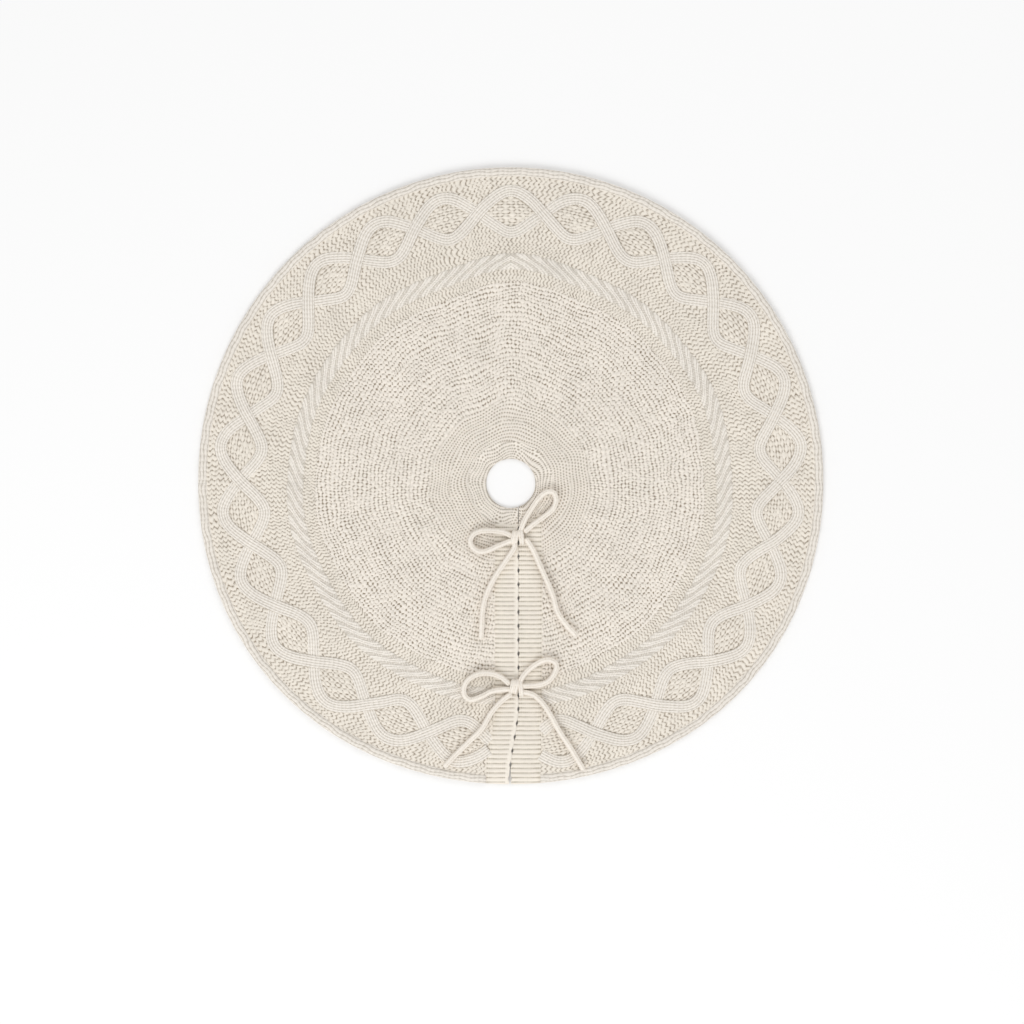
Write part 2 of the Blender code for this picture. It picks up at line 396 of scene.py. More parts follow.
def purl_ground(row, column):
    """Reverse stockinette: each row is one wavy strand, and a column is one wave. From 0 to 1."""
    sway = 0.23 * np.sin(2 * math.pi * column) + 0.05 * np.sin(4 * math.pi * column + 0.8)
    wave = row + sway + 0.06 * speckle(np.round(row), np.round(column), 11)
    size = 1 + 0.15 * speckle(np.round(wave), np.round(column), 5)
    strand = np.abs(np.cos(math.pi * wave)) ** 0.62
    turn = 0.86 + 0.14 * np.cos(4 * math.pi * column)
    return np.clip(strand * size * turn, 0, 1.2)


def neck_rows(row, column):
    """Close columns round the hole with a broken groove between them. From 0 to 1."""
    ridge = np.abs(np.cos(math.pi * column))
    bridge = 0.5 + 0.5 * np.cos(2 * math.pi * row + math.pi * np.floor(column))
    size = 1 + 0.22 * speckle(np.round(row), np.round(column), 7)
    ridge = ridge ** 1.2 * (0.66 + 0.34 * bridge)
    return np.clip(np.maximum(ridge, 0.84 * bridge ** 1.7) * size, 0, 1.2)


def plain_knit(row, column):
    """Stockinette: columns of V stitches. From 0 to 1."""
    inside = column - np.round(column)
    ridge = np.abs(np.cos(math.pi * column)) ** 0.65
    vee = 0.5 + 0.5 * np.cos(2 * math.pi * (row + 1.1 * np.abs(inside)))
    size = 1 + 0.12 * speckle(np.round(row), np.round(column), 17)
    return np.clip(np.maximum(ridge * (0.48 + 0.52 * vee), 0.30 * (1 - vee)) * size, 0, 1.2)


# ---------------------------------------------------------------- mesh building


def knit_grid(columns, rows, cuts, cuts_below=1, square_edges=False):
    """A closed slab in pattern units, u and v from 0 to 1 and w 0 below or 1 above, finer on top.

    Square edges keep the shading of the top flat right up to the edge, where another piece meets it.
    """
    work = bmesh.new()
    bmesh.ops.create_grid(work, x_segments=columns, y_segments=rows, size=0.5)
    lifted = bmesh.ops.extrude_face_region(work, geom=list(work.faces))["geom"]
    upper = [part for part in lifted if isinstance(part, bmesh.types.BMVert)]
    bmesh.ops.translate(work, vec=(0, 0, 1), verts=upper)
    bmesh.ops.translate(work, vec=(0.5, 0.5, 0), verts=list(work.verts))
    bmesh.ops.recalc_face_normals(work, faces=list(work.faces))
    for level, share in ((1, cuts), (0, cuts_below)):
        flat = [e for e in work.edges if all(abs(v.co.z - level) < 0.5 for v in e.verts)]
        if share:
            bmesh.ops.subdivide_edges(work, edges=flat, cuts=share, use_grid_fill=True)
    if square_edges:
        for edge in work.edges:
            edge.smooth = edge.calc_face_angle(0) < 1.0
    return work


def spots(mesh):
    flat = np.empty(len(mesh.vertices) * 3, np.float32)
    mesh.vertices.foreach_get("co", flat)
    return flat.reshape(-1, 3).astype(float)


def lay_out_map(mesh, above):
    """A map for the piece: its upper side on one half, its lower side on the other."""
    place = spots(mesh)
    low = place.min(0)
    span = max((place.max(0) - low)[:2]) * 1.02
    corner = np.empty(len(mesh.loops), np.int32)
    mesh.loops.foreach_get("vertex_index", corner)
    starts = np.empty(len(mesh.polygons), np.int32)
    totals = np.empty(len(mesh.polygons), np.int32)
    mesh.polygons.foreach_get("loop_start", starts)
    mesh.polygons.foreach_get("loop_total", totals)
    owner = np.repeat(np.arange(len(totals)), totals)
    highest = np.zeros(len(totals))
    np.maximum.at(highest, owner, above[corner])
    below = (highest < 0.5)[owner]
    flat = (place[corner][:, :2] - low[:2]) / span * 0.49 + 0.005
    flat[:, 0] += np.where(below, 0.5, 0.0)
    layer = mesh.uv_layers.new(name="OFBake")
    layer.data.foreach_set("uv", flat.astype(np.float32).ravel())


def shaped(name, work, shape, material):
    """Turns a grid in pattern units into a piece. shape(u, v, w) gives x, y, z and stitch height."""
    mesh = bpy.data.meshes.new(name)
    work.to_mesh(mesh)
    work.free()
    pattern = spots(mesh)
    u, v, w = pattern.T
    x, y, z, stitch = shape(u, v, w)
    place = np.stack([x, y + HOLE_Y, z], 1) * MM
    mesh.vertices.foreach_set("co", place.astype(np.float32).ravel())
    mesh.update()
    # The stitch height also sets the painted shade between stitches in the yarn material.
    attribute = mesh.attributes.new("stitch", "FLOAT", "POINT")
    attribute.data.foreach_set("value", np.clip(stitch, 0, 1).astype(np.float32))
    lay_out_map(mesh, w)
    mesh.shade_smooth()
    mesh.materials.append(material)
    piece = bpy.data.objects.new(name, mesh)
    bpy.context.scene.collection.objects.link(piece)
    return piece


def joined(name, pieces):
    """Several shells made into one piece."""
    first = pieces[0]
    first.name = name
    first.data.name = name
    if len(pieces) > 1:
        with bpy.context.temp_override(active_object=first, selected_editable_objects=pieces):
            bpy.ops.object.join()
    return first


def follow(piece, part):
    """The back rides on its body. A front quarter's cloth has its placing baked into its mesh."""
    if part == "back":
        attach(piece, "back")
        return
    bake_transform(piece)


# ---------------------------------------------------------------- yarn materials


def yarn_group():
    """Yarn: painted shade between stitches, set by the stitch height; uneven dye and fine fibre."""
    group = bpy.data.node_groups.new("yarn", "ShaderNodeTree")
    ports = group.interface
    for title, kind, value in (("Light", "NodeSocketColor", (0.8, 0.75, 0.65, 1)),
                               ("Painted shade", "NodeSocketColor", (0.4, 0.35, 0.26, 1)),
                               ("Reach", "NodeSocketFloat", 0.55),
                               ("Fibre", "NodeSocketFloat", 900.0)):
        port = ports.new_socket(title, in_out="INPUT", socket_type=kind)
        port.default_value = value
    for title, kind in (("Color", "NodeSocketColor"), ("Roughness", "NodeSocketFloat"),
                        ("Height", "NodeSocketFloat")):
        ports.new_socket(title, in_out="OUTPUT", socket_type=kind)
    nodes, link = group.nodes, group.links.new
    given = nodes.new("NodeGroupInput")
    out = nodes.new("NodeGroupOutput")
    stitch = nodes.new("ShaderNodeAttribute")
    stitch.attribute_name = "stitch"
    where = nodes.new("ShaderNodeTexCoord")

    reach = nodes.new("ShaderNodeMapRange")
    reach.interpolation_type = "SMOOTHSTEP"
    link(stitch.outputs["Fac"], reach.inputs["Value"])
    link(given.outputs["Reach"], reach.inputs["From Max"])

    # Painted shade: the deep colour where the stitch height is low, between the stitches.
    colour = nodes.new("ShaderNodeMix")
    colour.data_type = "RGBA"
    link(reach.outputs["Result"], colour.inputs["Factor"])
    link(given.outputs["Painted shade"], colour.inputs["A"])
    link(given.outputs["Light"], colour.inputs["B"])

    dye = nodes.new("ShaderNodeTexNoise")
    dye.inputs["Scale"].default_value = 38.0
    dye.inputs["Detail"].default_value = 4.0
    link(where.outputs["Object"], dye.inputs["Vector"])
    fine = nodes.new("ShaderNodeTexNoise")
    fine.inputs["Scale"].default_value = 420.0
    fine.inputs["Detail"].default_value = 3.0
    link(where.outputs["Object"], fine.inputs["Vector"])
    both = nodes.new("ShaderNodeMath")
    both.operation = "ADD"
    link(dye.outputs["Fac"], both.inputs[0])
    link(fine.outputs["Fac"], both.inputs[1])
    shade = nodes.new("ShaderNodeMapRange")
    shade.inputs["From Min"].default_value = 0.6
    shade.inputs["From Max"].default_value = 1.4
    shade.inputs["To Min"].default_value = 0.93
    shade.inputs["To Max"].default_value = 1.06
    link(both.outputs[0], shade.inputs["Value"])
    tinted = nodes.new("ShaderNodeVectorMath")
    tinted.operation = "SCALE"
    link(colour.outputs["Result"], tinted.inputs[0])
    link(shade.outputs["Result"], tinted.inputs["Scale"])
    link(tinted.outputs[0], out.inputs["Color"])

    fibre = nodes.new("ShaderNodeTexNoise")
    fibre.inputs["Detail"].default_value = 3.0
    link(where.outputs["Object"], fibre.inputs["Vector"])
    link(given.outputs["Fibre"], fibre.inputs["Scale"])
    link(fibre.outputs["Fac"], out.inputs["Height"])
    rough = nodes.new("ShaderNodeMapRange")
    rough.inputs["To Min"].default_value = 0.82
    rough.inputs["To Max"].default_value = 0.98
    link(fibre.outputs["Fac"], rough.inputs["Value"])
    link(rough.outputs["Result"], out.inputs["Roughness"])
    return group


YARN = yarn_group()


def yarn(name, light, deep, reach, fibre=900.0, fuzz=0.25):
    made = bpy.data.materials.new(name)
    made.use_nodes = True
    nodes, link = made.node_tree.nodes, made.node_tree.links.new
    shader = nodes["Principled BSDF"]
    look = nodes.new("ShaderNodeGroup")
    look.node_tree = YARN
    look.inputs["Light"].default_value = (*light, 1)
    look.inputs["Painted shade"].default_value = (*deep, 1)
    look.inputs["Reach"].default_value = reach
    look.inputs["Fibre"].default_value = fibre
    bump = nodes.new("ShaderNodeBump")
    bump.inputs["Strength"].default_value = 0.5
    bump.inputs["Distance"].default_value = 0.0004
    link(look.outputs["Color"], shader.inputs["Base Color"])
    link(look.outputs["Roughness"], shader.inputs["Roughness"])
    link(look.outputs["Height"], bump.inputs["Height"])
    link(bump.outputs["Normal"], shader.inputs["Normal"])
    shader.inputs["Sheen Weight"].default_value = fuzz
    shader.inputs["Sheen Roughness"].default_value = 0.45
    shader.inputs["Specular IOR Level"].default_value = 0.2
    return made


# The second colour of each yarn is painted shade, laid between the stitches and in grooves and holes.
MOSS_YARN = yarn("moss_yarn", (0.87, 0.81, 0.73), (0.28, 0.22, 0.15), 0.58)
GROUND_YARN = yarn("ground_yarn", (0.86, 0.80, 0.71), (0.26, 0.20, 0.14), 0.76)
NECK_YARN = yarn("neck_yarn", (0.88, 0.82, 0.74), (0.29, 0.24, 0.175), 0.72)
CABLE_YARN = yarn("cable_yarn", (0.89, 0.84, 0.77), (0.34, 0.29, 0.22), 0.74)
HEM_YARN = yarn("hem_yarn", (0.85, 0.80, 0.73), (0.26, 0.21, 0.15), 0.76)
PLACKET_YARN = yarn("placket_yarn", (0.86, 0.80, 0.71), (0.20, 0.15, 0.08), 0.66)
CORD_YARN = yarn("cord_yarn", (0.90, 0.84, 0.76), (0.56, 0.48, 0.37), 0.60)


# ---------------------------------------------------------------- cloth


def ring_cloth(name, part, inner, outer, rows_round, columns, cells, relief, under, material):
    """A ring sector of knitting between two radii, which may change with the angle."""
    along = rows_round // (2 if part == "back" else 4)

    def shape(u, v, w):
        radius = np.full_like(u, 100.0)
        for _ in range(5):
            start, end = ring_span(part, radius, cloth_edge)
            angle = start + (end - start) * u
            near, far = inner(angle), outer(angle)
            radius = near + (far - near) * v
        radius = radius + drift_out(angle, radius)
        x, y = radius * np.sin(angle), radius * np.cos(angle)
        row = angle * rows_round / (2 * math.pi) + 0.34 * wander(x, y, 21, 6)
        column = v * columns + 0.5 + 0.30 * wander(x, y, 22, 6)
        height, stitch = relief(angle, radius, row, column)
        # Neighbouring rings meet at one height and one painted shade, so no line shows between them.
        held = np.clip(np.minimum(v, 1 - v) * cells * 4, 0, 1)
        common = 0.5 + 0.4 * np.cos(angle * GROUND_ROWS)
        height = held * height + (1 - held) * (seam_level(angle, radius) + 1.2 * common)
        stitch = held * stitch + (1 - held) * common
        z = np.where(w > 0.5, height, UNDER_RELIEF * (1 - under(row, column)))
        # Painted shade on the underside follows its own stitch pattern.
        stitch = np.where(w > 0.5, stitch, 0.25 + 0.6 * under(row, column))
        return x, y, z, stitch

    return shaped(name, knit_grid(along, cells, STITCH_CUTS, square_edges=True), shape, material)


def seam_level(angle, radius):
    return FIELD_TOP - SEAM_DROP + rest_height(angle, radius)


def smooth_side(_row, column):
    """Stockinette seen from below: smooth columns running round."""
    return np.abs(np.cos(math.pi * column)) ** 0.6


def field_relief(angle, radius, row, column):
    """Close rows round the hole first, then the moss stitch."""
    inside = radius < MOSS_FROM
    stitch = np.where(inside, neck_rows(row, column), moss(row, column))
    depth = np.where(inside, PLAIN_DEPTH, MOSS_DEPTH)
    return seam_level(angle, radius) - 0.4 + depth * stitch, stitch


def ground_relief(angle, radius, row, column):
    """Reverse stockinette with a patch of moss stitch inside each diamond."""
    beat = np.abs(np.cos(math.pi * diamond_phase(angle)))
    room = DIAMOND_SWING * beat - STRAND_WIDTH / 2 - np.abs(radius - diamond_middle(angle))
    patch = step(room, -2.5, 0.5)
    worked = 0.15 + 0.85 * moss(row * PATCH_ROW, (radius - ROPE_RADIUS) / PATCH_COLUMN)
    stitch = purl_ground(row, column) * (1 - patch) + worked * patch
    # The cloth swells a little inside a diamond and sinks along the strands.
    swell = 0.7 * step(room, 0, 9) - 0.5 * np.exp(-(room / 3) ** 2)
    depth = 1.7 + 0.3 * patch
    return seam_level(angle, radius) - 0.3 + depth * stitch + swell, stitch


def neck_relief(angle, radius, row, column):
    """The neck rounds over at the hole and puckers a little."""
    stitch = neck_rows(row, column)
    edge = np.sqrt(np.clip((radius - HOLE_RADIUS) / 3.5, 0, 1))
    puckers = 0.45 * np.sin(19 * angle + 0.25 * radius) * np.sin(7 * angle + 1.1)
    height = 1.2 + (NECK_TOP - 2.6) * edge + (1.2 * stitch + puckers) * edge
    # The painted shade between stitches deepens where the neck rounds over at the hole.
    return height + rest_height(angle, radius), stitch * (0.6 + 0.4 * edge)


def lay_flat(part, near, far):
    """Works out the flat area of a ring sector's cut: half a ring, or a quarter short of the placket.
    The area is not used.
    """
    area = math.pi * (far ** 2 - near ** 2) / 2
    if part != "back":
        area = area / 2 - PLACKET_WIDTH * (far - math.sqrt(near ** 2 - PLACKET_WIDTH ** 2))


def build_cloth(part):
    """The knitted rings of one part: plain inner rows, moss field, ribs and cable ground."""
    inner_rings, moss_rings = [], []
    for near, far, rows_round, columns in FIELD_RINGS:
        rings = inner_rings if far <= MOSS_FROM else moss_rings
        rings.append(ring_cloth(
            f"{part}_ring_{rows_round}", part, lambda a, near=near: near + 0 * a,
            lambda a, far=far: far + 0 * a, rows_round, columns, columns,
            field_relief, moss, MOSS_YARN))
    inner_rows = joined(f"{part}_inner_rows", inner_rings)
    field = joined(f"{part}_moss_field", moss_rings)
    for piece in (inner_rows, field):
        follow(piece, part)
    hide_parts(f"{part}_centre_field")

    ribs = ring_cloth(
        f"{part}_ribs", part, lambda a: GROUND_FROM + 0 * a, lambda a: ROPE_RADIUS + 0 * a,
        GROUND_ROWS, (ROPE_RADIUS - GROUND_FROM) / GROUND_COLUMN, RIB_CELLS,
        ground_relief, smooth_side, GROUND_YARN)
    ground = ring_cloth(
        f"{part}_cable_ground", part, lambda a: ROPE_RADIUS + 0 * a,
        lambda a: rim_radius(a) - HEM_WIDTH + 1.5, GROUND_ROWS,
        (RIM_SIDE - HEM_WIDTH - ROPE_RADIUS) / GROUND_COLUMN, GROUND_CELLS,
        ground_relief, smooth_side, GROUND_YARN)
    for piece in (ribs, ground):
        follow(piece, part)
    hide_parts(f"{part}_cable_border")
    return inner_rows, field, ribs, ground


def build_neck(part):
    """The close rows round the trunk hole, rounded over at the hole."""
    along = NECK_ROWS // (2 if part == "back" else 4)

    def shape(u, v, w):
        spread = 1 - np.cos(math.pi * v / 2)
        radius = HOLE_RADIUS + NECK_WIDTH * spread + np.where(w > 0.5, 0, 0.6 * (1 - v))
        start, end = ring_span(part, radius, neck_edge)
        angle = start + (end - start) * u
        x, y = radius * np.sin(angle), radius * np.cos(angle)
        row = angle * NECK_ROWS / (2 * math.pi) + 0.7 * wander(x, y, 31, 4)
        column = (radius - HOLE_RADIUS) / NECK_COLUMN + 0.5 + 0.6 * wander(x, y, 32, 5)
        height, stitch = neck_relief(angle, radius, row, column)
        held = np.clip((1 - v) * 12, 0, 1)
        height = held * height + (1 - held) * (seam_level(angle, radius) + 0.6)
        z = np.where(w > 0.5, height, 0.0)
        return x, y, z, np.where(w > 0.5, stitch, UNDER_SHADE)

    neck = shaped(f"{part}_neck_band", knit_grid(along, NECK_CELLS, STITCH_CUTS), shape, NECK_YARN)
    follow(neck, part)
    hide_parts(f"{part}_neck_edge")
    return neck


def build_hem(part):
    """The rolled edge: smooth columns running round over a low roll."""
    along = HEM_ROWS // (2 if part == "back" else 4)

    def shape(u, v, w):
        radius = np.full_like(u, 300.0)
        for _ in range(4):
            start, end = ring_span(part, radius, cloth_edge)
            angle = start + (end - start) * u
            outer = rim_radius(angle)
            scallop = 0.35 * np.cos(ROPE_TURNS * angle)
            middle = outer - HEM_WIDTH / 2 - 0.2 + scallop * 0.3
            half = HEM_WIDTH / 2 + 0.2 - 0.3 * scallop
            turn = math.pi * v
            radius = middle - half * np.cos(turn) * np.where(w > 0.5, 1, 0.75)
        x, y = radius * np.sin(angle), radius * np.cos(angle)
        row = angle * HEM_ROWS / (2 * math.pi) + 0.25 * wander(x, y, 41, 6)
        column = v * HEM_COLUMNS + 0.5 + 0.18 * np.cos(ROPE_TURNS * angle)
        column = column + 0.2 * wander(x, y, 42, 7)
        # The stitch height shapes the roll and sets its painted shade between columns, never the full
        # deep colour.
        stitch = 0.1 + 0.9 * plain_knit(row, column)
        lift = HEM_TOP - 3.9 + 0.5 * rest_height(angle, radius)
        crown = np.maximum(np.sin(turn), 0)
        z = np.where(w > 0.5, 2.3 + lift * crown + 1.2 * stitch * crown ** 0.3, 0.0)
        return x, y, z, np.where(w > 0.5, 0.1 + 0.9 * stitch, UNDER_SHADE)

    hem = shaped(f"{part}_hem_roll", knit_grid(along, HEM_CELLS, STITCH_CUTS), shape, HEM_YARN)
    follow(hem, part)
    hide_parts(f"{part}_rolled_hem")
    return hem


# ---------------------------------------------------------------- cables


def build_strand(part, name, sign):
    """One strand of the diamond cable, a few columns wide, over and under its partner."""
    rows = STRAND_ROWS[part]

    def shape(u, v, w):
        middle = np.full_like(u, 260.0)
        for _ in range(4):
            start, end = ring_span(part, middle, cloth_edge)
            angle = start + (end - start) * u
            middle = strand_radius(angle, sign)
        ahead = strand_radius(angle + 1e-4, sign)
        slope = (ahead - middle) / (1e-4 * middle)
        long = np.sqrt(1 + slope ** 2)
        across = (v - 0.5) * STRAND_WIDTH
        bulge = np.sqrt(np.clip(1 - (2 * v - 1) ** 6, 0, 1))
        radius = middle + across / long
        bent = angle - across * slope / long / middle
        column = v * STRAND_COLUMNS - 0.5
        x, y = radius * np.sin(bent), radius * np.cos(bent)
        row = u * rows + 0.2 * wander(x, y, 51, 5)
        stitch = plain_knit(row, column + 0.15 * wander(x, y, 52, 6))
        lift = strand_lift(angle, sign)
        high = FIELD_TOP - CABLE_BASE + 1.1 * bulge + 1.3 * stitch * bulge + lift
        high = high + rest_height(bent, radius)
        low = FIELD_TOP - CABLE_FOOT + 0 * u
        # Painted shade between the stitches and down the strand's sides, where it meets the cloth.
        stitch = 0.15 + 0.85 * stitch * bulge
        return x, y, np.where(w > 0.5, high, low), np.where(w > 0.5, stitch, 0.5)

    grid = knit_grid(rows, STRAND_COLUMNS + 3, STITCH_CUTS)
    strand = shaped(f"{part}_{name}", grid, shape, CABLE_YARN)
    follow(strand, part)
    return strand


def build_rope(part):
    """The twisted rope cable between the field and the border, mirrored at the middle of the back."""
    along = ROPE_ROWS // (1 if part == "back" else 2)

    def shape(u, v, w):
        radius = np.full_like(u, ROPE_RADIUS)
        for _ in range(3):
            start, end = ring_span(part, radius, cloth_edge)
            angle = start + (end - start) * u
            middle = ROPE_RADIUS + drift_out(angle, ROPE_RADIUS + 0 * angle)
            side = 2 * v - 1
            turns = np.abs(angle) * ROPE_TURNS / (2 * math.pi)
            leaf = turns + 0.95 * side + 0.12 * np.sin(math.pi * side)
            swell = np.abs(np.sin(math.pi * leaf))
            radius = middle + side * ROPE_WIDTH / 2 * (0.90 + 0.10 * swell * np.abs(side))
        bulge = np.sqrt(np.clip(1 - side ** 6, 0, 1))
        wave = 0.6 * np.cos(2.5 * math.pi * side)
        vee = 0.5 + 0.5 * np.cos(2 * math.pi * (turns * ROPE_STITCHES + wave))
        fine = np.abs(np.cos(3 * math.pi * leaf)) ** 0.5 * (0.42 + 0.58 * vee)
        # Painted shade between the rope's twists and its stitches, and down its sides.
        stitch = swell ** 0.35 * (0.08 + 0.92 * fine)
        high = FIELD_TOP - CABLE_BASE + (0.4 + 0.8 * swell ** 0.5) * bulge + 1.3 * fine * bulge
        high = high + rest_height(angle, radius)
        low = FIELD_TOP - CABLE_FOOT + 0 * u
        stitch = 0.2 + 0.8 * stitch * bulge
        return (radius * np.sin(angle), radius * np.cos(angle), np.where(w > 0.5, high, low),
                np.where(w > 0.5, stitch, 0.5))

    rope = shaped(f"{part}_rope_cable", knit_grid(along, ROPE_CELLS, STITCH_CUTS), shape, CABLE_YARN)
    follow(rope, part)
    return rope


# ---------------------------------------------------------------- plackets


def build_placket(label, side):
    """The ribbed band along the slit: ridges across it, a rounded edge along both sides."""

    def shape(u, v, w):
        forward = np.full_like(u, 100.0)
        angle = np.full_like(u, math.pi)
        cross = u if side > 0 else 1 - u
        eased = (1 - np.cos(math.pi * cross)) / 2 * 0.55 + cross * 0.45
        for _ in range(8):
            near = HOLE_RADIUS + NECK_WIDTH - 0.8
            far = rim_radius(angle)
            along = near + (far - near) * v
            inner_x = slit_x(forward) + side * (0.05 + 1.0 * step(forward, 268, 294))
            outer_x = placket_outer_x(forward, side)
            across = inner_x + (outer_x - inner_x) * eased
            forward = np.sqrt(along ** 2 - across ** 2)
            angle = math.pi - np.arcsin(across / along)
        inset = np.where(w > 0.5, 0.0, 1.0)
        rib = (forward - HOLE_RADIUS - NECK_WIDTH) / RIDGE_PITCH + 0.1 * np.sin(forward / 17)
        beads = 0.5 + 0.5 * np.cos(2 * math.pi * across / BEAD_PITCH)
        ridge = np.abs(np.cos(math.pi * rib)) ** 0.85
        stitch = np.maximum(ridge * (0.84 + 0.16 * beads), 0.62 * (1 - beads))
        stitch = stitch * (1 + 0.1 * speckle(np.round(rib), np.round(across / BEAD_PITCH), 13))
        # The left band ends in a plain edge beside the slit.
        plain = np.exp(-(cross / 0.2) ** 4) if side < 0 else 0 * cross
        stitch = stitch * (1 - plain) + 0.85 * plain
        edge = np.clip(np.sin(math.pi * eased), 0, 1) ** 0.28
        edge = np.where(cross < 0.5, np.maximum(edge, 0.84), edge)
        end = np.sqrt(np.clip((1 - v) * 30, 0, 1)) * np.sqrt(np.clip(v * 40 + 0.35, 0, 1))
        height = 2.0 + (PLACKET_TOP - 3.9) * edge * end + 1.9 * stitch * edge * end
        height = height + rest_height(angle, along)
        z = np.where(w > 0.5, height, 0.0)
        # Every third groove ends in a small hole at the slit.
        holes = (0.5 + 0.5 * np.cos(2 * math.pi * (forward - 4.0) / HOLE_PITCH)) ** 6
        notch = 1.1 * holes * np.exp(-(cross / 0.07) ** 2)
        across = across + side * (inset * np.where(cross < 0.5, 0.2, -0.2) + notch)
        # Painted shade: deeper in the grooves and towards the rounded edges.
        shade = np.where(w > 0.5, stitch * (0.4 + 0.6 * edge), 0.5 + 0.3 * ridge)
        return across, -forward, z, shade

    grid = knit_grid(PLACKET_CELLS, PLACKET_RIDGES * 2, PLACKET_CUTS)
    band = shaped(f"{label}_ribbed_placket", grid, shape, PLACKET_YARN)
    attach(band, label + "_flap")
    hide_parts(label + "_placket")
    return band


# ---------------------------------------------------------------- ties and bows


def smooth_route(points, samples):
    """Evenly spread points along a Catmull-Rom curve through the given points."""
    posts = [points[0] * 2 - points[1], *points, points[-1] * 2 - points[-2]]
    fine = []
    for a, b, c, d in zip(posts, posts[1:], posts[2:], posts[3:]):
        for k in range(16):
            t = k / 16
            fine.append(0.5 * ((2 * b) + (c - a) * t + (2 * a - 5 * b + 4 * c - d) * t ** 2
                               + (3 * b - a - 3 * c + d) * t ** 3))
    fine.append(points[-1])
    fine = np.array(fine)
    length = np.concatenate([[0], np.cumsum(np.linalg.norm(np.diff(fine, axis=0), axis=1))])
    want = np.linspace(0, length[-1], samples)
    return np.stack([np.interp(want, length, fine[:, k]) for k in range(3)], 1), length[-1]


def cord_mesh(name, points, radius):
    """A knitted cord along a route: a tube with a fine V texture and rounded ends."""
    route, length = smooth_route([np.array(p, float) for p in points], ROUTE_SAMPLES)
    rings = max(16, int(length / CORD_RING_STEP))
    work = bmesh.new()
    bmesh.ops.create_grid(work, x_segments=CORD_SIDES, y_segments=rings, size=0.5)
    bmesh.ops.translate(work, vec=(0.5, 0.5, 0), verts=list(work.verts))
    mesh = bpy.data.meshes.new(name)
    work.to_mesh(mesh)
    work.free()
    u, v, _ = spots(mesh).T
    along = v * length
    index = v * (len(route) - 1)
    centre = np.stack([np.interp(index, np.arange(len(route)), route[:, k]) for k in range(3)], 1)
    tangent = np.gradient(route, axis=0)
    tangent = np.stack([np.interp(index, np.arange(len(route)), tangent[:, k]) for k in range(3)], 1)
    tangent /= np.linalg.norm(tangent, axis=1)[:, None]
    side = np.cross(tangent, np.array([0.03, 0.02, 1.0]))
    side /= np.linalg.norm(side, axis=1)[:, None]
    up = np.cross(side, tangent)
    turn = 2 * math.pi * u
    stitch = plain_knit(along / CORD_STITCH, u * CORD_COLUMNS)
    girth = radius * (0.96 + 0.11 * stitch)
    for far in (along, length - along):
        girth = girth * np.sqrt(np.clip(1 - (1 - np.clip(far / radius, 0, 1)) ** 2, 0, 1))
    place = centre + (np.cos(turn) * girth)[:, None] * side + (np.sin(turn) * girth)[:, None] * up
    place[:, 1] += HOLE_Y
    mesh.vertices.foreach_set("co", (place * MM).astype(np.float32).ravel())
    # Painted shade between the cord's stitches.
    attribute = mesh.attributes.new("stitch", "FLOAT", "POINT")
    attribute.data.foreach_set("value", np.clip(stitch, 0, 1).astype(np.float32))
    work = bmesh.new()
    work.from_mesh(mesh)
    bmesh.ops.remove_doubles(work, verts=list(work.verts), dist=0.000002)
    bmesh.ops.recalc_face_normals(work, faces=list(work.faces))
    work.to_mesh(mesh)
    work.free()
    mesh.shade_smooth()
    mesh.materials.append(CORD_YARN)
    piece = bpy.data.objects.new(name, mesh)
    bpy.context.scene.collection.objects.link(piece)
    path = route[::PATH_STEP].copy()
    path[:, 1] += HOLE_Y
    return piece, path * MM, length * MM


def reach_in(points, both):
    """Lets the cord's end, or both its ends, run on a little into the knot."""
    points = [np.array(p, float) for p in points]
    ends = [(0, 1), (-1, -2)] if both else [(0, 1)]
    for end, inner in ends:
        way = points[end] - points[inner]
        points[end] = points[end] + way / np.linalg.norm(way) * KNOT_REACH
    return points


def build_tie(label, bow, parts):
    """One side of a bow: its loop, its loose tail and its half of the knot."""
    flap = label + "_flap"
    start = f"{label}_{bow}"
    for kind, body, far_end in (("loop", flap, "object"), ("tail", start + "_tail", "bare")):
        route = reach_in([(x, y, CORD_LEVEL) for x, y in parts[kind]], kind == "loop")
        cord, path, length = cord_mesh(f"{start}_{kind}_cord", route, CORD_RADIUS)
        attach(cord, body)
        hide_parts(start + ("_bow_loop" if kind == "loop" else "_tie_tail"))
    build_knot(label, bow, parts["knot"])


def build_knot(label, bow, box):
    """Half of the knot: turns of cord wrapped round the tie, side by side."""
    left, right, front, back = box
    start = f"{label}_{bow}"
    base, crown = PLACKET_TOP + 1.0, CORD_LEVEL + KNOT_RISE
    middle, deep = (front + back) / 2, (back - front) / 2
    if label == "left":
        right = right + KNOT_OVERLAP
    else:
        left = left - KNOT_OVERLAP
    wide = right - left
    lean = KNOT_LEAN[label]
    shares = KNOT_TURNS[label]
    girth = min(KNOT_GIRTH, wide / len(shares) / 2 + KNOT_OVERLAP)
    turns = []
    for k, share in enumerate(shares):
        x = left + wide * share
        points = [(x - lean, front + 1.2, base), (x - lean, front + 0.5, base + 1.6),
                  (x - lean * 0.7, middle - deep * 0.62, crown - 1.0), (x, middle, crown),
                  (x + lean * 0.7, middle + deep * 0.62, crown - 1.0),
                  (x + lean, back - 0.5, base + 1.6), (x + lean, back - 1.2, base)]
        turn, _, _ = cord_mesh(f"{start}_knot_turn_{k}", points, girth)
        turns.append(turn)
    knot = joined(f"{start}_knot_turns", turns)
    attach(knot, label + "_flap")
    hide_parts(start + "_half_knot")


# ---------------------------------------------------------------- put together


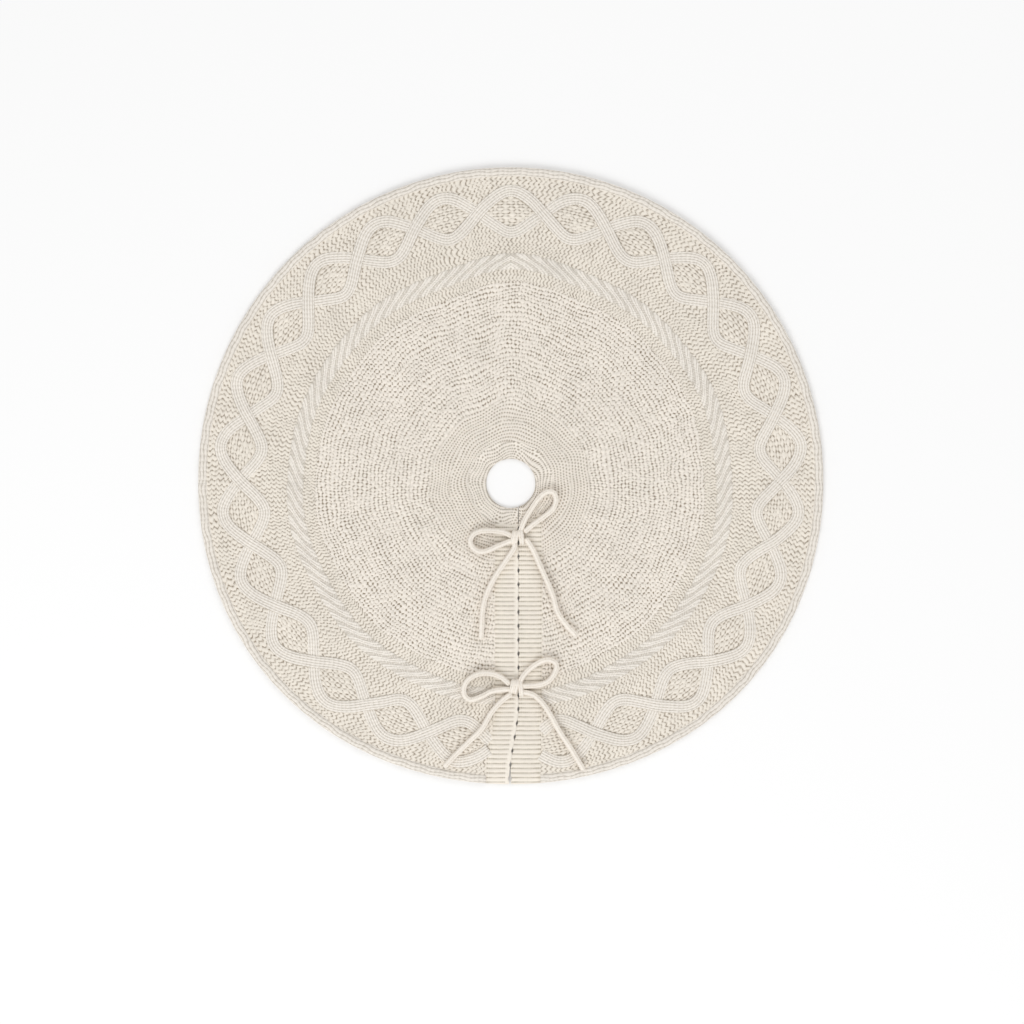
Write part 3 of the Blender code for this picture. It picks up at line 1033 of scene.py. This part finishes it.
def light_area(name, place, size, power, aim=(0, 0, 0)):
    lamp = bpy.data.lights.new(name, "AREA")
    lamp.shape = "DISK"
    lamp.size = size
    lamp.energy = power
    shown = bpy.data.objects.new(name, lamp)
    shown.location = place
    shown.rotation_euler = (Vector(aim) - Vector(place)).to_track_quat("-Z", "Y").to_euler()
    bpy.context.scene.collection.objects.link(shown)


def build_stage():
    scene = bpy.context.scene
    scene.view_settings.view_transform = "Standard"
    camera = bpy.data.cameras.new("camera")
    camera.lens = LENS
    camera.sensor_width = SENSOR
    shown = bpy.data.objects.new("camera", camera)
    shown.location = (VIEW_CENTRE[0], VIEW_CENTRE[1], VIEW_WIDTH * LENS / SENSOR + FIELD_TOP * MM)
    scene.collection.objects.link(shown)
    scene.camera = shown

    work = bmesh.new()
    bmesh.ops.create_grid(work, x_segments=1, y_segments=1, size=6)
    mesh = bpy.data.meshes.new("floor")
    work.to_mesh(mesh)
    work.free()
    floor = bpy.data.objects.new("floor", mesh)
    floor.location = (0, 0, FLOOR_LEVEL)
    paint = bpy.data.materials.new("floor_paint")
    paint.use_nodes = True
    shader = paint.node_tree.nodes["Principled BSDF"]
    shader.inputs["Base Color"].default_value = (0.95, 0.95, 0.95, 1)
    shader.inputs["Roughness"].default_value = 1.0
    shader.inputs["Specular IOR Level"].default_value = 0.0
    mesh.materials.append(paint)
    scene.collection.objects.link(floor)

    world = bpy.data.worlds.new("studio")
    world.use_nodes = True
    world.node_tree.nodes["Background"].inputs["Color"].default_value = (1, 1, 1, 1)
    world.node_tree.nodes["Background"].inputs["Strength"].default_value = SKY_STRENGTH
    scene.world = world
    light_area("key", (-0.8, -2.6, 2.6), 2.2, 52)
    light_area("fill", (1.0, 2.4, 2.8), 2.6, 22)


def build_all():
    build_stage()
    for bow, sides in BOWS.items():
        for label, parts in sides.items():
            build_tie(label, bow, parts)
    for part in ("back", "left", "right"):
        inner_rows, field, ribs, ground = build_cloth(part)
        neck = build_neck(part)
        raised = [build_hem(part), build_rope(part)]
        raised.append(build_strand(part, "diamond_strand_a", 1))
        raised.append(build_strand(part, "diamond_strand_b", -1))
        lay_flat(part, MOSS_FROM, GROUND_FROM)
        lay_flat(part, ROPE_RADIUS, RIM_SIDE - HEM_WIDTH)
    build_placket("left", -1)
    build_placket("right", 1)


build_all()
